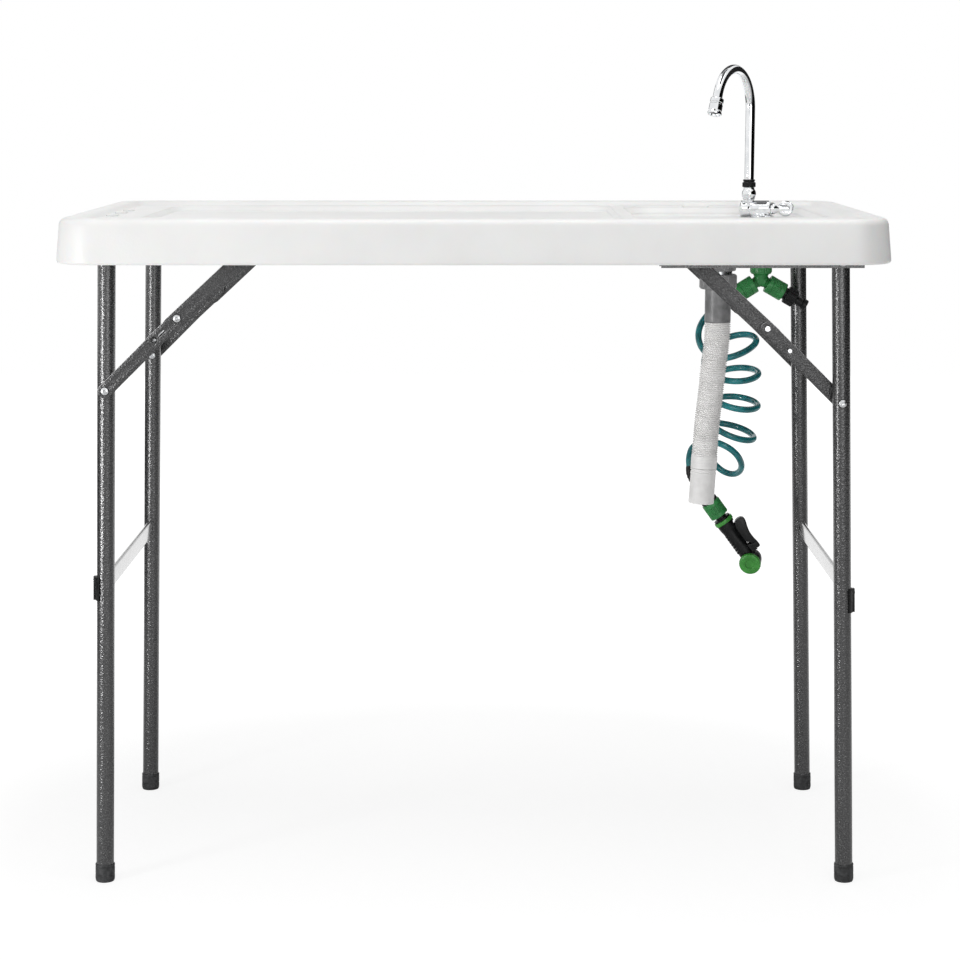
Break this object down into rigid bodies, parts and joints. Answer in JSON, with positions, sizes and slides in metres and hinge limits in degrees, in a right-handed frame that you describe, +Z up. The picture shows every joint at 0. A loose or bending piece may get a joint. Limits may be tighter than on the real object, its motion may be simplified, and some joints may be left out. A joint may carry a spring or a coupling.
{
  "type": "foldable camping sink",
  "caption": "Folding white table with a moulded basin, swan-neck tap, ribbed drain hose and coiled spray hose on braced fold-up leg frames.",
  "frame": {"origin": "on the floor, under the middle of the table top", "axes": "+Z up, +X to the right of a person washing up, -Y towards that person"},
  "size_m": [1.15, 0.59, 1.1654],
  "materials": {
    "white_polyethylene": "blow-moulded white polyethylene with a fine pebble grain",
    "hammertone_steel": "dark grey hammertone powder coat on steel",
    "black_rubber": "black rubber foot caps",
    "black_plastic": "black moulded plastic",
    "zinc_steel": "zinc-plated rivets, bolts and nuts",
    "chrome": "polished chrome plate",
    "stainless_steel": "stainless steel",
    "grey_pvc": "grey moulded PVC",
    "pale_pvc": "pale grey flexible PVC",
    "green_abs": "green moulded ABS",
    "lime_abs": "lime green moulded ABS",
    "teal_hose": "teal polyurethane hose"
  },
  "bodies": {
    "root": {"table_top": "white_polyethylene", "left_front_rail": "hammertone_steel", "left_rear_rail": "hammertone_steel", "right_front_rail": "hammertone_steel", "right_rear_rail": "hammertone_steel", "left_front_pivot_bolt": "zinc_steel", "left_rear_pivot_bolt": "zinc_steel", "right_front_pivot_bolt": "zinc_steel", "right_rear_pivot_bolt": "zinc_steel", "tap_body": "chrome", "tap_locknut": "zinc_steel", "spout_collar": "chrome", "drain_strainer": "stainless_steel", "drain_flange_nut": "grey_pvc", "drain_coupling": "grey_pvc", "drain_tailpiece": "grey_pvc", "drain_hose": "pale_pvc", "drain_cuff": "pale_pvc", "splitter_body": "green_abs", "hose_tail": "black_plastic", "hose_adapter": "black_plastic", "coil_hose": "teal_hose", "hose_boot": "black_plastic", "gun_connector": "black_plastic", "gun_ring": "lime_abs", "gun_body": "black_plastic"},
    "left_leg_frame": {"left_front_leg": "hammertone_steel", "left_rear_leg": "hammertone_steel", "left_crossbar": "hammertone_steel", "left_leg_clip": "black_plastic", "left_front_foot": "black_rubber", "left_rear_foot": "black_rubber", "left_front_leg_rivet": "zinc_steel", "left_rear_leg_rivet": "zinc_steel"},
    "left_lower_links": {"left_front_lower_link": "hammertone_steel", "left_rear_lower_link": "hammertone_steel"},
    "left_upper_links": {"left_front_upper_link": "hammertone_steel", "left_rear_upper_link": "hammertone_steel"},
    "right_leg_frame": {"right_front_leg": "hammertone_steel", "right_rear_leg": "hammertone_steel", "right_crossbar": "hammertone_steel", "right_leg_clip": "black_plastic", "right_front_foot": "black_rubber", "right_rear_foot": "black_rubber", "right_front_leg_rivet": "zinc_steel", "right_rear_leg_rivet": "zinc_steel"},
    "right_lower_links": {"right_front_lower_link": "hammertone_steel", "right_rear_lower_link": "hammertone_steel"},
    "right_upper_links": {"right_front_upper_link": "hammertone_steel", "right_rear_upper_link": "hammertone_steel"},
    "spout": {"spout": "chrome", "aerator": "chrome"},
    "tap_handle": {"tap_handle": "chrome"},
    "left_sleeve": {"left_sleeve": "green_abs"},
    "right_sleeve": {"right_sleeve": "green_abs"},
    "gun_sleeve": {"gun_sleeve": "green_abs"},
    "gun_trigger": {"gun_trigger": "black_plastic"},
    "gun_dial": {"gun_dial": "lime_abs"}
  },
  "joints": [
    {"name": "left_leg_fold", "type": "hinge", "parent": "root", "child": "left_leg_frame", "pos_m": [-0.5075, 0, 0.9106], "axis": [0, -1, 0], "range_deg": [0, 91.65]},
    {"name": "left_upper_links_turn", "type": "hinge", "parent": "root", "child": "left_upper_links", "pos_m": [-0.30605, 0, 0.9106], "axis": [0, -1, 0], "range_deg": [0, 137.37]},
    {"name": "left_lower_links_turn", "type": "hinge", "parent": "left_leg_frame", "child": "left_lower_links", "pos_m": [-0.5132, 0, 0.71268], "axis": [0, -1, 0], "range_deg": [-136.38, 0]},
    {"name": "right_leg_fold", "type": "hinge", "parent": "root", "child": "right_leg_frame", "pos_m": [0.5075, 0, 0.893], "axis": [0, 1, 0], "range_deg": [0, 85.85], "deforming": ["gun_connector", "gun_sleeve", "gun_ring", "gun_body", "gun_trigger", "gun_dial"]},
    {"name": "right_upper_links_turn", "type": "hinge", "parent": "root", "child": "right_upper_links", "pos_m": [0.30605, 0, 0.893], "axis": [0, 1, 0], "range_deg": [0, 130.43]},
    {"name": "right_lower_links_turn", "type": "hinge", "parent": "right_leg_frame", "child": "right_lower_links", "pos_m": [0.5132, 0, 0.69508], "axis": [0, 1, 0], "range_deg": [-129.44, 0]},
    {"name": "spout_swivel", "type": "hinge", "parent": "root", "child": "spout", "pos_m": [0.4245, 0.19, 0.985], "axis": [0, 0, 1], "continuous": true},
    {"name": "tap_handle_turn", "type": "hinge", "parent": "root", "child": "tap_handle", "pos_m": [0.458, 0.19, 0.9454], "axis": [1, 0, 0], "range_deg": [0, 90]},
    {"name": "left_sleeve_slide", "type": "slide", "parent": "root", "child": "left_sleeve", "axis": [-0.848, 0, -0.5299], "range_m": [0, 0.0033], "stiffness_N_per_m": 600, "springref_m": -0.002},
    {"name": "right_sleeve_slide", "type": "slide", "parent": "root", "child": "right_sleeve", "axis": [0.866, 0, -0.5], "range_m": [0, 0.0033], "stiffness_N_per_m": 600, "springref_m": -0.002},
    {"name": "gun_sleeve_slide", "type": "slide", "parent": "root", "child": "gun_sleeve", "axis": [0.5878, 0, -0.809], "range_m": [0, 0.0033], "stiffness_N_per_m": 600, "springref_m": -0.002},
    {"name": "gun_trigger_pull", "type": "hinge", "parent": "root", "child": "gun_trigger", "pos_m": [0.43697, 0.118, 0.42824], "axis": [0, 1, 0], "range_deg": [0, 11], "stiffness_Nm_per_rad": 0.3, "springref_deg": -14.32},
    {"name": "spray_dial_turn", "type": "hinge", "parent": "root", "child": "gun_dial", "pos_m": [0.4306, 0.118, 0.40384], "axis": [-0.2201, -0.9503, -0.2201], "continuous": true}
  ],
  "couplings": [
    {"joint": "left_upper_links_turn", "follows": "left_leg_fold", "ratio": 1.4983},
    {"joint": "left_lower_links_turn", "follows": "left_leg_fold", "ratio": -1.4875},
    {"joint": "right_upper_links_turn", "follows": "right_leg_fold", "ratio": 1.5186},
    {"joint": "right_lower_links_turn", "follows": "right_leg_fold", "ratio": -1.5071}
  ]
}
